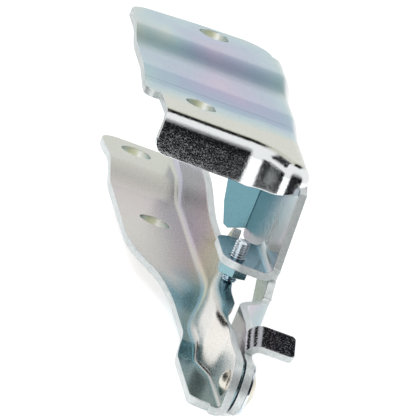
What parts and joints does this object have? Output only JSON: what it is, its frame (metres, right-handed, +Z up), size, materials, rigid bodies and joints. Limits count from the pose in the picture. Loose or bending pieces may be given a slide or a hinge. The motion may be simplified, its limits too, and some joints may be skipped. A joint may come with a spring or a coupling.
{
  "type": "bonnet hinge",
  "caption": "Zinc-plated pressed steel bonnet hinge: a body bracket and a bonnet bracket on one riveted pivot, with a height adjuster screw.",
  "frame": {"origin": "centre of the body bracket's bolt hole nearest the pivot, on the face that sits on the car body", "axes": "+X from the pivot towards the far end of the plates, +Y towards the free edge of the plates, +Z up"},
  "size_m": [0.32, 0.0703, 0.0859],
  "materials": {
    "zinc_sheet": "bright zinc plate",
    "zinc_fastener": "bright zinc plate",
    "bush_bronze": "sintered"
  },
  "bodies": {
    "body": {"body_bracket": "zinc_sheet", "pivot_rivet": "zinc_fastener", "thrust_washer": "zinc_fastener", "head_washer": "zinc_fastener"},
    "bonnet": {"bonnet_bracket": "zinc_sheet", "pivot_bush": "bush_bronze", "adjuster_screw": "zinc_fastener", "adjuster_nut": "zinc_fastener"}
  },
  "joints": [
    {"name": "bonnet_hinge", "type": "hinge", "parent": "body", "child": "bonnet", "pos_m": [-0.214, -0.0135, 0.0032], "axis": [0, -1, 0], "range_deg": [0, 60]}
  ]
}
